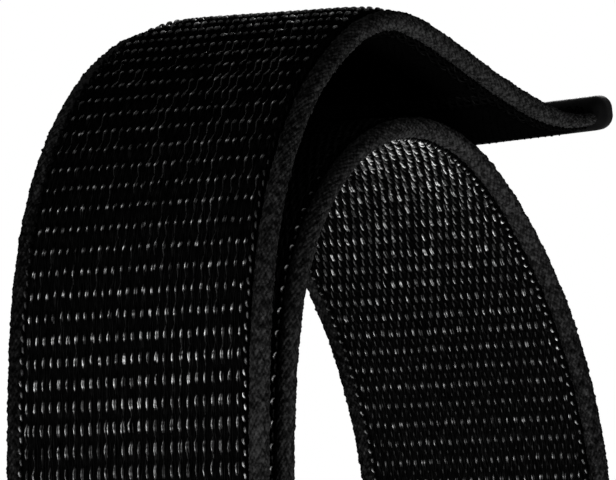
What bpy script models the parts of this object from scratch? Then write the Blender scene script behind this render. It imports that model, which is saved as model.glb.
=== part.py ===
"""Nylon watch strap: a woven hook-and-loop band with its free end peeled open.

One woven strip runs from the fixed lug up and over the wrist to the slot lug, folds round
that lug's bar and comes back over itself as the outer run, whose end is the flap with the
hooks and the tab. X is the depth of the loop, Y the width of the strap, Z is up, and the
origin is on the surface the two lugs stand on, under the middle of the loop. Units: metres.
"""

import math

import bmesh
import bpy
import numpy as np
from mathutils import Matrix, Vector

# Woven strap
STRAP_WIDTH = 0.0240
STRAP_THICKNESS = 0.0019
EDGE_CORD_DIAMETER = 0.0016
SEAM_GAP = 0.0003
PATH_STEP = 0.0022

# Loop, measured between the strap's centre lines and up from the lug bars
LOOP_DEPTH = 0.0594
LOOP_HEIGHT = 0.0545
TAIL_LENGTH = 0.0095
FOLD_JOIN_HEIGHT = 0.0060

# Flap
BEND_CLEARANCE = 0.00015
HOOK_THICKNESS = 0.0004
HOOK_INSET = 0.0010
HOOK_END_MARGIN = 0.0016
HOOK_LENGTH = 0.0150
BOND_GAP = 0.0001
TIP_LENGTH = 0.0030
TIP_THICKNESS = 0.0030
TIP_RAISE = 0.0002
TIP_ROUND = 0.0012
TIP_END_ROUND = 0.0010
TAB_CURL = math.radians(13)

# Lug bar and the ears that hold it
BAR_DIAMETER = 0.0017
BAR_CLEARANCE = 0.0001
BAR_RECESS = 0.0001
BAR_CHAMFER = 0.00015
BAR_FIT = 0.00005
EAR_THICKNESS = 0.0014
EAR_HEIGHT = 0.0060
EAR_BACK = 0.0031
EAR_FRONT = 0.0044
EAR_ROUND = 0.0014
EAR_SIDE_GAP = 0.0004

# Rail that slides into the watch case
RAIL_BACK = 0.0032
SHOULDER = 0.0044
SHOULDER_THICKNESS = 0.0036
NECK_THICKNESS = 0.0020
NECK_LENGTH = 0.0010
HEAD_LENGTH = 0.0036
HEAD_THICKNESS = 0.0034
HEAD_ROUND = 0.0012
HEAD_BACK_ROUND = 0.0004
RAIL_DROP = 0.0003

# Sprung latch in the rail's head
LATCH_FLANGE_LENGTH = 0.0056
LATCH_FLANGE_HEIGHT = 0.0005
LATCH_NOSE_LENGTH = 0.0038
LATCH_NOSE_ROUND = 0.0007
LATCH_DEPTH = 0.0014
LATCH_PROUD = 0.0006
LATCH_TRAVEL = 0.0005
LATCH_FIT = 0.00008
KEEPER_THICKNESS = 0.0004
KEEPER_ROUND = 0.0001
SPRING_DIAMETER = 0.0013
SPRING_WIRE = 0.00022
SPRING_SEAT = 0.00003
SPRING_SPARE = 0.00014
SPRING_TURNS = 3
SPRING_TURN_POINTS = 10

# Friction pads beside the latch
PAD_DIAMETER = 0.0018
PAD_HEIGHT = 0.0010
PAD_PROUD = 0.0002
PAD_SPACING = 0.0140
PAD_FIT = 0.0001

# How far cuts reach past a face, and how close two points are joined
CUT_OVERRUN = 0.0010
WELD_DISTANCE = 0.0000001

# Places along the loop, as shares of its depth and of its height above the bars
INNER_RUN_SHARES = (
    (0.498, 0.294), (0.458, 0.549), (0.359, 0.750), (0.232, 0.884), (0.074, 0.980),
    (-0.089, 0.998), (-0.268, 0.925), (-0.389, 0.769), (-0.436, 0.488),
)
OUTER_RUN_SHARES = (
    (-0.500, 0.330), (-0.500, 0.606), (-0.466, 0.837), (-0.387, 0.993), (-0.263, 1.106),
    (-0.135, 1.152), (-0.045, 1.146), (0.050, 1.123), (0.215, 1.083), (0.379, 1.068),
    (0.505, 1.094),
)
# Where the outer run bends, as shares of its length from the slot lug's bar
ROOT_BEND_SHARE = 0.441
CREST_BEND_SHARE = 0.6445
TAB_BEND_SHARE = 0.8185

ARC_SIDES = 24
BAR_SIDES = 24
PAD_SIDES = 20
CORD_RESOLUTION = 2
DOME_ANGLES = (math.radians(78), math.radians(52), math.radians(26))

FOLD_RADIUS = BAR_DIAMETER / 2 + BAR_CLEARANCE + STRAP_THICKNESS / 2
BAR_X = LOOP_DEPTH / 2 - FOLD_RADIUS
BAR_Z = EAR_HEIGHT / 2
CORD_RADIUS = EDGE_CORD_DIAMETER / 2
CORD_Y = STRAP_WIDTH / 2 - CORD_RADIUS
WEB_HALF_WIDTH = CORD_Y - CORD_RADIUS - SEAM_GAP
EAR_INNER_Y = STRAP_WIDTH / 2 + EAR_SIDE_GAP
LUG_HALF_WIDTH = EAR_INNER_Y + EAR_THICKNESS
BEND_SETBACK = STRAP_THICKNESS / 2 + BEND_CLEARANCE
UP = math.pi / 2
DOWN = -math.pi / 2

MATERIALS = {
    # name: colour, roughness, metallic
    "woven_nylon": ((0.012, 0.012, 0.013), 0.55, 0.0),
    "edge_braid": ((0.022, 0.022, 0.023), 0.80, 0.0),
    "hook_field": ((0.006, 0.006, 0.006), 0.75, 0.0),
    "fused_tip": ((0.010, 0.010, 0.011), 0.45, 0.0),
    "lug_metal": ((0.060, 0.060, 0.064), 0.38, 0.9),
    "steel": ((0.520, 0.520, 0.530), 0.30, 1.0),
    "pad_rubber": ((0.020, 0.020, 0.020), 0.90, 0.0),
}


def clear_scene():
    for obj in list(bpy.data.objects):
        bpy.data.objects.remove(obj, do_unlink=True)


def make_collection(name):
    collection = bpy.data.collections.new(name)
    bpy.context.scene.collection.children.link(collection)
    return collection


def make_material(name):
    colour, roughness, metallic = MATERIALS[name]
    material = bpy.data.materials.new(name)
    material.use_nodes = True
    shader = material.node_tree.nodes["Principled BSDF"]
    shader.inputs["Base Color"].default_value = (*colour, 1.0)
    shader.inputs["Roughness"].default_value = roughness
    shader.inputs["Metallic"].default_value = metallic
    return material


# Paths in the XZ plane


def heading(angle):
    return np.array((math.cos(angle), math.sin(angle)))


def arc(centre, radius, start, end):
    """Points on an arc, both ends included, at an even step."""
    count = max(2, round(ARC_SIDES * abs(end - start) / math.tau))
    return [centre + radius * heading(angle) for angle in np.linspace(start, end, count + 1)]


def running_length(path):
    steps = np.hypot(*np.diff(path, axis=0).T)
    return np.concatenate(((0.0,), np.cumsum(steps)))


def spline_slopes(knots, spans, start, end):
    """Slopes that make a cubic through the knots bend evenly, with both end headings given."""
    count = len(knots)
    matrix = np.eye(count)
    slopes = np.zeros((count, 2))
    slopes[0] = heading(start)
    slopes[-1] = heading(end)
    for i in range(1, count - 1):
        before, after = spans[i - 1], spans[i]
        matrix[i, i - 1:i + 2] = after, 2 * (before + after), before
        rise_before = (knots[i] - knots[i - 1]) / before
        rise_after = (knots[i + 1] - knots[i]) / after
        slopes[i] = 3 * (after * rise_before + before * rise_after)
    return np.linalg.solve(matrix, slopes)


def smooth_path(knots, start, end, step):
    """An evenly spaced path on one smooth curve through the knots."""
    knots = np.array(knots)
    spans = np.hypot(*np.diff(knots, axis=0).T)
    slopes = spline_slopes(knots, spans, start, end)
    fine = []
    for i, span in enumerate(spans):
        for u in np.linspace(0, 1, 40, endpoint=False):
            fine.append(
                (2 * u**3 - 3 * u**2 + 1) * knots[i]
                + (u**3 - 2 * u**2 + u) * span * slopes[i]
                + (3 * u**2 - 2 * u**3) * knots[i + 1]
                + (u**3 - u**2) * span * slopes[i + 1]
            )
    fine = np.array(fine + [knots[-1]])
    along = running_length(fine)
    places = np.linspace(0, along[-1], max(4, round(along[-1] / step)) + 1)
    return np.column_stack([np.interp(places, along, fine[:, axis]) for axis in (0, 1)])


def stretch(path, start, end):
    """The part of a path between two distances along it."""
    along = running_length(path)
    spare = (end - start) / 100
    inside = along[(along > start + spare) & (along < end - spare)]
    places = np.concatenate(((start,), inside, (end,)))
    return np.column_stack([np.interp(places, along, path[:, axis]) for axis in (0, 1)])


def left_normals(path):
    tangents = np.gradient(path, axis=0)
    tangents /= np.hypot(*tangents.T)[:, None]
    return np.column_stack((-tangents[:, 1], tangents[:, 0]))


def beside(path, distance):
    """The path moved sideways, to its left where the distance is positive."""
    return path + distance * left_normals(path)


def loop_point(depth_share, height_share):
    return np.array((depth_share * LOOP_DEPTH, BAR_Z + height_share * LOOP_HEIGHT))


def inner_path():
    """From the sewn tail round the fixed bar, over the wrist and round the slot bar."""
    fixed_bar = np.array((BAR_X, BAR_Z))
    slot_bar = np.array((-BAR_X, BAR_Z))
    closing = 2 * FOLD_RADIUS - STRAP_THICKNESS - SEAM_GAP
    lean = math.asin(closing / TAIL_LENGTH)
    wrap = arc(fixed_bar, FOLD_RADIUS, math.pi - lean, math.tau)
    tail_end = wrap[0] + TAIL_LENGTH * heading(UP - lean)
    knots = [wrap[-1]]
    knots += [loop_point(*share) for share in INNER_RUN_SHARES]
    knots += [slot_bar + FOLD_RADIUS * heading(0)]
    run = smooth_path(knots, UP, DOWN, PATH_STEP)
    fold = arc(slot_bar, FOLD_RADIUS, 0, -math.pi)
    end = fold[-1] + (FOLD_JOIN_HEIGHT - BAR_Z) * heading(UP)
    return np.array([tail_end] + wrap + list(run[1:-1]) + fold + [end])


def outer_path():
    """From above the slot bar up the outside, over the crest and out to the tab."""
    start = np.array((-BAR_X - FOLD_RADIUS, FOLD_JOIN_HEIGHT))
    knots = [start] + [loop_point(*share) for share in OUTER_RUN_SHARES]
    return smooth_path(knots, UP, TAB_CURL, PATH_STEP)


# Solids


def weld(mesh):
    shape = bmesh.new()
    shape.from_mesh(mesh)
    bmesh.ops.remove_doubles(shape, verts=shape.verts, dist=WELD_DISTANCE)
    bmesh.ops.recalc_face_normals(shape, faces=shape.faces)
    shape.to_mesh(mesh)
    shape.free()


def add_object(name, data, material, collection, origin=(0, 0, 0), turn=None):
    obj = bpy.data.objects.new(name, data)
    collection.objects.link(obj)
    if material:
        obj.data.materials.append(material)
    obj.matrix_world = Matrix.Translation(Vector(origin)) @ (turn or Matrix.Identity(4))
    return obj


def outline_solid(name, outline, half_depth, material, collection, origin=(0, 0, 0), turn=None):
    """A closed outline in local XY, thickened to half_depth each way along local Z."""
    curve = bpy.data.curves.new(name, "CURVE")
    curve.dimensions = "2D"
    curve.fill_mode = "BOTH"
    curve.extrude = half_depth
    spline = curve.splines.new("POLY")
    spline.points.add(len(outline) - 1)
    for point, (x, y) in zip(spline.points, outline):
        point.co = (x, y, 0, 1)
    spline.use_cyclic_u = True
    holder = bpy.data.objects.new(name + "_outline", curve)
    collection.objects.link(holder)
    bpy.context.view_layer.update()
    evaluated = holder.evaluated_get(bpy.context.evaluated_depsgraph_get())
    mesh = bpy.data.meshes.new_from_object(evaluated)
    bpy.data.objects.remove(holder, do_unlink=True)
    bpy.data.curves.remove(curve)
    mesh.name = name
    weld(mesh)
    mesh.materials.clear()
    obj = add_object(name, mesh, material, collection, origin, turn)
    return obj


# Local XY of an outline stands up in the XZ plane, or faces along X
STAND_UP = Matrix.Rotation(math.radians(90), 4, "X")
FACE_ALONG_X = Matrix(((0, 0, 1, 0), (1, 0, 0, 0), (0, 1, 0, 0), (0, 0, 0, 1)))


def strip(name, path, thickness, half_width, material, collection, pivot, rounded_start=False):
    """A flat strip: the path thickened in its plane and given its width across it."""
    left = beside(path, thickness / 2)
    right = beside(path, -thickness / 2)
    outline = list(left) + list(right[::-1])
    if rounded_start:
        side = left[0] - path[0]
        angle = math.atan2(side[1], side[0])
        outline += arc(path[0], thickness / 2, angle - math.pi, angle - math.tau)[1:-1]
    origin = (pivot[0], 0, pivot[1])
    local = [point - np.array(pivot) for point in outline]
    return outline_solid(name, local, half_width, material, collection, origin, STAND_UP)


def cord(name, path, y, material, collection, pivot, rounded_start=False):
    """A round cord along the path, whose first end is domed where it turns at a bend."""
    origin = Vector((pivot[0], y, pivot[1]))
    points = [(Vector((x, y, z)) - origin, 1.0) for x, z in path]
    if rounded_start:
        back = (points[0][0] - points[1][0]).normalized()
        dome = [
            (points[0][0] + back * CORD_RADIUS * math.sin(angle), math.cos(angle))
            for angle in DOME_ANGLES
        ]
        points = dome + points
    curve = bpy.data.curves.new(name, "CURVE")
    curve.dimensions = "3D"
    curve.bevel_depth = CORD_RADIUS
    curve.bevel_resolution = CORD_RESOLUTION
    curve.use_fill_caps = True
    spline = curve.splines.new("POLY")
    spline.points.add(len(points) - 1)
    for point, (place, radius) in zip(spline.points, points):
        point.co = (*place, 1)
        point.radius = radius
    spline.use_smooth = True
    return add_object(name, curve, material, collection, origin)


def cylinder(name, diameter, length, sides, material, collection, origin, turn=None, chamfer=0.0):
    mesh = bpy.data.meshes.new(name)
    shape = bmesh.new()
    bmesh.ops.create_cone(
        shape, cap_ends=True, segments=sides, radius1=diameter / 2, radius2=diameter / 2, depth=length
    )
    shape.to_mesh(mesh)
    shape.free()
    obj = add_object(name, mesh, material, collection, origin, turn)
    if chamfer:
        edge = obj.modifiers.new("chamfer", "BEVEL")
        edge.width = chamfer
        edge.segments = 2
        edge.limit_method = "ANGLE"
        edge.angle_limit = math.radians(60)
    mesh.shade_smooth()
    mesh.set_sharp_from_angle(angle=math.radians(40))
    return obj


def corner(x, y, radius, quarter):
    """A round corner at (x, y), in quarter 0 to 3 counter-clockwise from the upper right."""
    angle = quarter * UP
    right = 1 if quarter in (0, 3) else -1
    upper = 1 if quarter in (0, 1) else -1
    centre = np.array((x - right * radius, y - upper * radius))
    return arc(centre, radius, angle, angle + UP)


def rounded_box_outline(low, high, radius):
    """A rectangle's outline with round corners, counter-clockwise."""
    places = ((high[0], high[1]), (low[0], high[1]), (low[0], low[1]), (high[0], low[1]))
    points = []
    for quarter, (x, y) in enumerate(places):
        points += corner(x, y, radius, quarter)
    return points


def apply_boolean(obj, operation, other):
    step = obj.modifiers.new(operation.lower(), "BOOLEAN")
    step.operation = operation
    step.solver = "EXACT"
    step.object = other


def keep_cutter(obj, cutters):
    for collection in list(obj.users_collection):
        collection.objects.unlink(obj)
    cutters.objects.link(obj)
    obj.hide_render = True
    obj.display_type = "WIRE"


def adopt(pivot, pieces):
    """Hang pieces on the empty that stands on their joint's axis."""
    bpy.context.view_layer.update()
    for piece in pieces:
        piece.parent = pivot
        piece.matrix_parent_inverse = pivot.matrix_world.inverted()


def make_pivot(name, place, collection):
    pivot = bpy.data.objects.new(name, None)
    pivot.location = place
    collection.objects.link(pivot)
    return pivot


# Strap


def web_and_cords(prefix, path, materials, collection, pivot=(0, 0), rounded_start=False):
    """One length of the woven strip, with the round braided edge on each side of it."""
    web = strip(
        prefix + "_web", path, STRAP_THICKNESS, WEB_HALF_WIDTH,
        materials["woven_nylon"], collection, pivot, rounded_start,
    )
    near = cord(prefix + "_edge_near", path, -CORD_Y, materials["edge_braid"], collection, pivot, rounded_start)
    far = cord(prefix + "_edge_far", path, CORD_Y, materials["edge_braid"], collection, pivot, rounded_start)
    return [web, near, far]


def hook_patch(name, path, materials, collection, pivot):
    offset = -(STRAP_THICKNESS / 2 + BOND_GAP + HOOK_THICKNESS / 2)
    return strip(
        name, beside(path, offset), HOOK_THICKNESS, WEB_HALF_WIDTH - HOOK_INSET,
        materials["hook_field"], collection, pivot,
    )


def tab_tip(path, materials, collection, pivot):
    """The fused end of the strap: a bar across it with round edges and corners."""
    end = path[-1]
    along = end - path[0]
    angle = math.atan2(along[1], along[0])
    half = TIP_THICKNESS / 2
    outline = rounded_box_outline((0, TIP_RAISE - half), (TIP_LENGTH, TIP_RAISE + half), TIP_ROUND)
    turn = STAND_UP @ Matrix.Rotation(angle, 4, "Z")
    origin = (path[0][0], 0, path[0][1])
    tip = outline_solid("tab_tip", outline, STRAP_WIDTH / 2, materials["fused_tip"], collection, origin, turn)
    edge = tip.modifiers.new("round_ends", "BEVEL")
    edge.width = TIP_END_ROUND
    edge.segments = 2
    edge.limit_method = "ANGLE"
    edge.angle_limit = math.radians(60)
    return [tip]


def make_strap(materials, collection):
    inner = inner_path()
    web_and_cords("inner_run", inner, materials, collection)

    outer = outer_path()
    length = running_length(outer)[-1]
    root, crest, tab = (share * length for share in (ROOT_BEND_SHARE, CREST_BEND_SHARE, TAB_BEND_SHARE))
    web_end = length - TIP_LENGTH - BOND_GAP
    web_and_cords("outer_run", stretch(outer, SEAM_GAP, root - BEND_SETBACK), materials, collection)

    parts = (
        ("flap_root", root, crest - BEND_SETBACK),
        ("flap_middle", crest, tab - BEND_SETBACK),
        ("flap_tab", tab, web_end),
    )
    parent = None
    for name, start, end in parts:
        path = stretch(outer, start, end)
        place = path[0]
        pieces = web_and_cords(name, path, materials, collection, place, rounded_start=True)
        if name == "flap_middle":
            hooks = stretch(outer, end + BEND_SETBACK - HOOK_END_MARGIN - HOOK_LENGTH, end - HOOK_END_MARGIN)
            pieces.append(hook_patch("hook_patch_middle", hooks, materials, collection, place))
        if name == "flap_tab":
            hooks = stretch(outer, start + HOOK_END_MARGIN, end)
            pieces.append(hook_patch("hook_patch_tab", hooks, materials, collection, place))
            pieces += tab_tip(stretch(outer, length - TIP_LENGTH, length), materials, collection, place)
        pivot = make_pivot(name + "_bend", (place[0], 0, place[1]), collection)
        adopt(pivot, pieces)
        if parent:
            adopt(parent, [pivot])
        parent = pivot


# Lugs, built with the bar at the local origin and the watch case along local X


def rail_outline():
    """Side view of the rail: a shoulder against the case, a neck, and the head in its slot."""
    back = SHOULDER + NECK_LENGTH
    front = back + HEAD_LENGTH
    body_low, body_high = -RAIL_DROP - SHOULDER_THICKNESS / 2, -RAIL_DROP + SHOULDER_THICKNESS / 2
    neck_low, neck_high = -RAIL_DROP - NECK_THICKNESS / 2, -RAIL_DROP + NECK_THICKNESS / 2
    head_low, head_high = -RAIL_DROP - HEAD_THICKNESS / 2, -RAIL_DROP + HEAD_THICKNESS / 2
    outline = [(RAIL_BACK, body_low), (SHOULDER, body_low), (SHOULDER, neck_low), (back, neck_low)]
    outline += corner(back, head_low, HEAD_BACK_ROUND, 2)
    outline += corner(front, head_low, HEAD_ROUND, 3)
    outline += corner(front, head_high, HEAD_ROUND, 0)
    outline += corner(back, head_high, HEAD_BACK_ROUND, 1)
    outline += [(back, neck_high), (SHOULDER, neck_high), (SHOULDER, body_high), (RAIL_BACK, body_high)]
    return outline


def latch_levels():
    """Heights in the head, from the keeper up, about the bar."""
    bottom = -RAIL_DROP - HEAD_THICKNESS / 2
    top = -RAIL_DROP + HEAD_THICKNESS / 2
    keeper_top = bottom + KEEPER_THICKNESS
    closed_coil = (SPRING_TURNS + 1) * SPRING_WIRE
    flange_bottom = keeper_top + closed_coil + SPRING_SPARE + LATCH_TRAVEL
    flange_top = flange_bottom + LATCH_FLANGE_HEIGHT
    shoulder = flange_top + LATCH_FIT
    return bottom, keeper_top, flange_bottom, flange_top, shoulder, top


def make_lug_frame(name, place, turn, material, collection, cutters):
    """Rail and ears in one piece, with the bar's holes, the latch's pocket and the pads' seats."""
    rail = outline_solid(
        name, rail_outline(), LUG_HALF_WIDTH - EAR_THICKNESS / 2, material, collection, place, turn @ STAND_UP
    )
    ear_middle = EAR_INNER_Y + EAR_THICKNESS / 2
    ear_shape = rounded_box_outline(
        (-EAR_BACK, -BAR_Z), (EAR_FRONT, EAR_HEIGHT - BAR_Z), EAR_ROUND
    )
    for side, label in ((-1, "_ear_near"), (1, "_ear_far")):
        shift = Matrix.Translation(Vector((0, side * ear_middle, 0)))
        ear = outline_solid(
            name + label, ear_shape, EAR_THICKNESS / 2, None, collection, place, turn @ shift @ STAND_UP
        )
        keep_cutter(ear, cutters)
        apply_boolean(rail, "UNION", ear)

    across = turn @ STAND_UP
    hole = cylinder(
        name + "_bar_hole", BAR_DIAMETER + 2 * BAR_FIT, 2 * LUG_HALF_WIDTH + CUT_OVERRUN, BAR_SIDES,
        None, collection, place, across,
    )
    keep_cutter(hole, cutters)
    apply_boolean(rail, "DIFFERENCE", hole)

    bottom, keeper_top, flange_bottom, flange_top, shoulder, top = latch_levels()
    half_flange = LATCH_FLANGE_LENGTH / 2 + LATCH_FIT
    half_nose = LATCH_NOSE_LENGTH / 2 + LATCH_FIT
    low = bottom - CUT_OVERRUN
    high = top + CUT_OVERRUN
    pocket_shape = (
        (half_flange, low), (half_flange, shoulder), (half_nose, shoulder), (half_nose, high),
        (-half_nose, high), (-half_nose, shoulder), (-half_flange, shoulder), (-half_flange, low),
    )
    shift = Matrix.Translation(Vector((head_middle(), 0, 0)))
    pocket = outline_solid(
        name + "_pocket", pocket_shape, LATCH_DEPTH / 2 + LATCH_FIT, None, collection, place,
        turn @ shift @ FACE_ALONG_X,
    )
    keep_cutter(pocket, cutters)
    apply_boolean(rail, "DIFFERENCE", pocket)

    seat_depth = PAD_HEIGHT - PAD_PROUD + PAD_FIT
    for side, label in ((-1, "_pad_seat_near"), (1, "_pad_seat_far")):
        shift = Matrix.Translation(
            Vector((head_middle(), side * PAD_SPACING / 2, top - seat_depth + (seat_depth + CUT_OVERRUN) / 2))
        )
        seat = cylinder(
            name + label, PAD_DIAMETER + 2 * PAD_FIT, seat_depth + CUT_OVERRUN, PAD_SIDES,
            None, collection, place, turn @ shift,
        )
        keep_cutter(seat, cutters)
        apply_boolean(rail, "DIFFERENCE", seat)
    return rail


def head_middle():
    return SHOULDER + NECK_LENGTH + HEAD_LENGTH / 2


def make_latch(name, place, turn, materials, collection):
    """A flanged tongue pushed up through the head by a coil that stands on the keeper plate."""
    bottom, keeper_top, flange_bottom, flange_top, shoulder, top = latch_levels()
    half_flange = LATCH_FLANGE_LENGTH / 2
    half_nose = LATCH_NOSE_LENGTH / 2
    nose_top = top + LATCH_PROUD
    outline = [(half_flange, flange_bottom), (half_flange, flange_top), (half_nose, flange_top)]
    outline += corner(half_nose, nose_top, LATCH_NOSE_ROUND, 0)
    outline += corner(-half_nose, nose_top, LATCH_NOSE_ROUND, 1)
    outline += [(-half_nose, flange_top), (-half_flange, flange_top), (-half_flange, flange_bottom)]
    shift = Matrix.Translation(Vector((head_middle(), 0, 0)))
    latch = outline_solid(
        name + "_latch", outline, LATCH_DEPTH / 2, materials["steel"], collection, place,
        turn @ shift @ FACE_ALONG_X,
    )

    keeper = outline_solid(
        name + "_keeper",
        rounded_box_outline(
            (-half_flange, bottom), (half_flange, keeper_top), KEEPER_ROUND
        ),
        LATCH_DEPTH / 2, materials["steel"], collection, place, turn @ shift @ FACE_ALONG_X,
    )

    wire_radius = SPRING_WIRE / 2
    low = keeper_top + SPRING_SEAT + wire_radius
    high = flange_bottom - SPRING_SEAT - wire_radius
    coil_radius = SPRING_DIAMETER / 2 - wire_radius
    count = SPRING_TURNS * SPRING_TURN_POINTS
    curve = bpy.data.curves.new(name + "_spring", "CURVE")
    curve.dimensions = "3D"
    curve.bevel_depth = wire_radius
    curve.bevel_resolution = 1
    curve.use_fill_caps = True
    spline = curve.splines.new("POLY")
    spline.points.add(count)
    for i, point in enumerate(spline.points):
        angle = math.tau * i / SPRING_TURN_POINTS
        height = low + (high - low) * i / count
        point.co = (coil_radius * math.cos(angle), coil_radius * math.sin(angle), height, 1)
    spring = add_object(name + "_spring", curve, materials["steel"], collection, place, turn @ shift)
    return latch, keeper, spring


def make_lug(name, bar_x, turn, materials, collection, cutters):
    place = (bar_x, 0, BAR_Z)
    frame = make_lug_frame(name + "_frame", place, turn, materials["lug_metal"], collection, cutters)
    bar = cylinder(
        name + "_bar", BAR_DIAMETER, 2 * (LUG_HALF_WIDTH - BAR_RECESS), BAR_SIDES,
        materials["steel"], collection, place, turn @ STAND_UP, BAR_CHAMFER,
    )
    latch, keeper, spring = make_latch(name, place, turn, materials, collection)
    top = latch_levels()[-1]
    pads = []
    for side, label in ((-1, "_pad_near"), (1, "_pad_far")):
        shift = Matrix.Translation(
            Vector((head_middle(), side * PAD_SPACING / 2, top + PAD_PROUD - PAD_HEIGHT / 2))
        )
        pads.append(cylinder(
            name + label, PAD_DIAMETER, PAD_HEIGHT, PAD_SIDES,
            materials["pad_rubber"], collection, place, turn @ shift, PAD_FIT,
        ))
    pivot = make_pivot(name + "_swing", place, collection)
    adopt(pivot, [frame, bar, keeper, spring, latch] + pads)


def main():
    clear_scene()
    collection = make_collection("nylon_watch_strap")
    cutters = make_collection("cutters")
    materials = {name: make_material(name) for name in MATERIALS}
    make_strap(materials, collection)
    make_lug("slot_lug", -BAR_X, Matrix.Identity(4), materials, collection, cutters)
    make_lug("fixed_lug", BAR_X, Matrix.Rotation(math.pi, 4, "Z"), materials, collection, cutters)
    bpy.context.view_layer.update()


main()
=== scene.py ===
"""Looks of the nylon watch strap: its weave, braided edges, hooks, stitches, coils and metal.

The strap is one woven strip. Its floats, binding yarns, braids, hooks and stitches are real
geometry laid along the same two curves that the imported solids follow. Units: metres.
"""

import math

import bpy
import numpy as np
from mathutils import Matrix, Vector


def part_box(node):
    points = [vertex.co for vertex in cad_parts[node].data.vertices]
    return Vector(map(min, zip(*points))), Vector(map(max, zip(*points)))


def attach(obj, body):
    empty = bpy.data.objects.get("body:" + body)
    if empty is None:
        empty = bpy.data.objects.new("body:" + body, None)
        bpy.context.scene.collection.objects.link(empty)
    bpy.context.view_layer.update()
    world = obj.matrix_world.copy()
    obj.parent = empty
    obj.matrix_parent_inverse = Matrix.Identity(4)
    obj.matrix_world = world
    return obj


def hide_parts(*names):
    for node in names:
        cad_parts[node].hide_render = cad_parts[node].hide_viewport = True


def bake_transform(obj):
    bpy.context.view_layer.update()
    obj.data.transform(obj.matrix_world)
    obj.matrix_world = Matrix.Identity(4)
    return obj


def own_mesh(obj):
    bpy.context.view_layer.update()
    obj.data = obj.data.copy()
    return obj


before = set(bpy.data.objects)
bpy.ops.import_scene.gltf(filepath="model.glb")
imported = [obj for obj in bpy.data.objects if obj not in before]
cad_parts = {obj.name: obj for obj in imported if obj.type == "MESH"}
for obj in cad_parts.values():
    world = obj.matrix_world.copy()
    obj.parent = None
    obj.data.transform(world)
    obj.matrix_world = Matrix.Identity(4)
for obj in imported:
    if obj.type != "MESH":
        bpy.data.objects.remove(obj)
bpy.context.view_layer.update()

# Sizes that the strap's solids have
STRAP_WIDTH = 0.0240
STRAP_THICKNESS = 0.0019
EDGE_CORD_DIAMETER = 0.0016
LOOP_DEPTH = 0.0594
LOOP_HEIGHT = 0.0545
TAIL_LENGTH = 0.0095
SEAM_GAP = 0.0003
FOLD_JOIN_HEIGHT = 0.0060
HOOK_INSET = 0.0010
HOOK_END_MARGIN = 0.0016
HOOK_LENGTH = 0.0150
TIP_LENGTH = 0.0030
TIP_THICKNESS = 0.0030
TIP_RAISE = 0.0002
TIP_ROUND = 0.0012
TAB_CURL = math.radians(13)
BAR_DIAMETER = 0.0017
BAR_CLEARANCE = 0.0001
BAR_Z = 0.0030

INNER_RUN_SHARES = (
    (0.498, 0.294), (0.458, 0.549), (0.359, 0.750), (0.232, 0.884), (0.074, 0.980),
    (-0.089, 0.998), (-0.268, 0.925), (-0.389, 0.769), (-0.436, 0.488),
)
OUTER_RUN_SHARES = (
    (-0.500, 0.330), (-0.500, 0.606), (-0.466, 0.837), (-0.387, 0.993), (-0.263, 1.106),
    (-0.135, 1.152), (-0.045, 1.146), (0.050, 1.123), (0.215, 1.083), (0.379, 1.068),
    (0.505, 1.094),
)
ROOT_BEND_SHARE = 0.441
CREST_BEND_SHARE = 0.6445
TAB_BEND_SHARE = 0.8185

FOLD_RADIUS = BAR_DIAMETER / 2 + BAR_CLEARANCE + STRAP_THICKNESS / 2
BAR_X = LOOP_DEPTH / 2 - FOLD_RADIUS
CORD_RADIUS = EDGE_CORD_DIAMETER / 2
CORD_Y = STRAP_WIDTH / 2 - CORD_RADIUS
UP = math.pi / 2
DOWN = -math.pi / 2

# Metres to millimetres, for the fibre map
MM = 1000

# Steps of the fine curves
FINE_STEP = 0.0003
ARC_SIDES = 96
SPLINE_STEPS = 40
TAIL_STEPS = 20
RISE_STEPS = 10

# How far a bend of the flap reaches to each side of its axis
BLEND_REACH = 0.0065

# Weave: rows along the strap, columns across it
ROW_PITCH = 0.00179
COLUMN_COUNT = 27
COLUMN_PITCH = 0.00075
OUTER_STEPS = (0.0, 0.12, 0.22, 0.30, 0.37, 0.42, 0.46, 0.50, 0.54, 0.58, 0.64, 0.72, 0.82, 0.91)
INNER_STEPS = (0.0, 0.12, 0.22, 0.30, 0.38, 0.46, 0.54, 0.63, 0.74, 0.88)
DULL_STEPS = (0.0, 0.14, 0.28, 0.42, 0.56, 0.70, 0.85)
ROW_END_SHARE = 0.02
PHASE_NUDGE = 1e-6
YARN_SIDES = 4
PLY_WIDTH = 0.00016
PLY_HEIGHT = 0.00022
PLY_GAP = 0.00014
PILE_WIDTH = 0.00036
YARN_CROWN = 0.00078
OUTER_DIVE = 0.00061
INNER_DIVE = 0.00044
MINOR_CROWN = 0.00070
GROUND_HALF = 0.00056
GROUND_PUFF = 0.00006
GROUND_HALF_WIDTH = 0.01045
GROUND_EDGE = 0.00030
GROUND_STEP = 0.00023
GROUND_EDGE_STEPS = 5
GROUND_FLAT_STEPS = 8
PUFF_PHASE = 0.6
FACE_BULGE = 0.00014
BULGE_POWER = 10
CREST_SWELL = (
    (0.0600, 0.0635, 0.0660, 0.0685, 0.0700, 0.0770, 0.0820, 0.0900),
    (0.00014, 0.00018, 0.00032, 0.00054, 0.00058, 0.00054, 0.00036, 0.00014),
)
SWELL_SLANT = 0.30
CROWN_GAIN = ((0.056, 0.064), (0.0, 0.00018))
PLY_CLOSING = ((0.054, 0.062), (1.0, 0.35))
BINDER_WIDTH = 0.00020
BINDER_HEIGHT = 0.00016
BINDER_LEVEL = 0.00058
BINDER_GAIN = ((0.058, 0.066, 0.086, 0.094), (0.0, 0.00013, 0.00010, 0.0))
BINDER_WANDER = 0.00005
BINDER_WAVES = 0.5
BINDER_STEP = 0.00045
SELVAGE_Y = 0.01035
SELVAGE_BACK_Y = 0.01052
SELVAGE_SHIFT = 0.00008
SELVAGE_WIDTH = 0.00022
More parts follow.
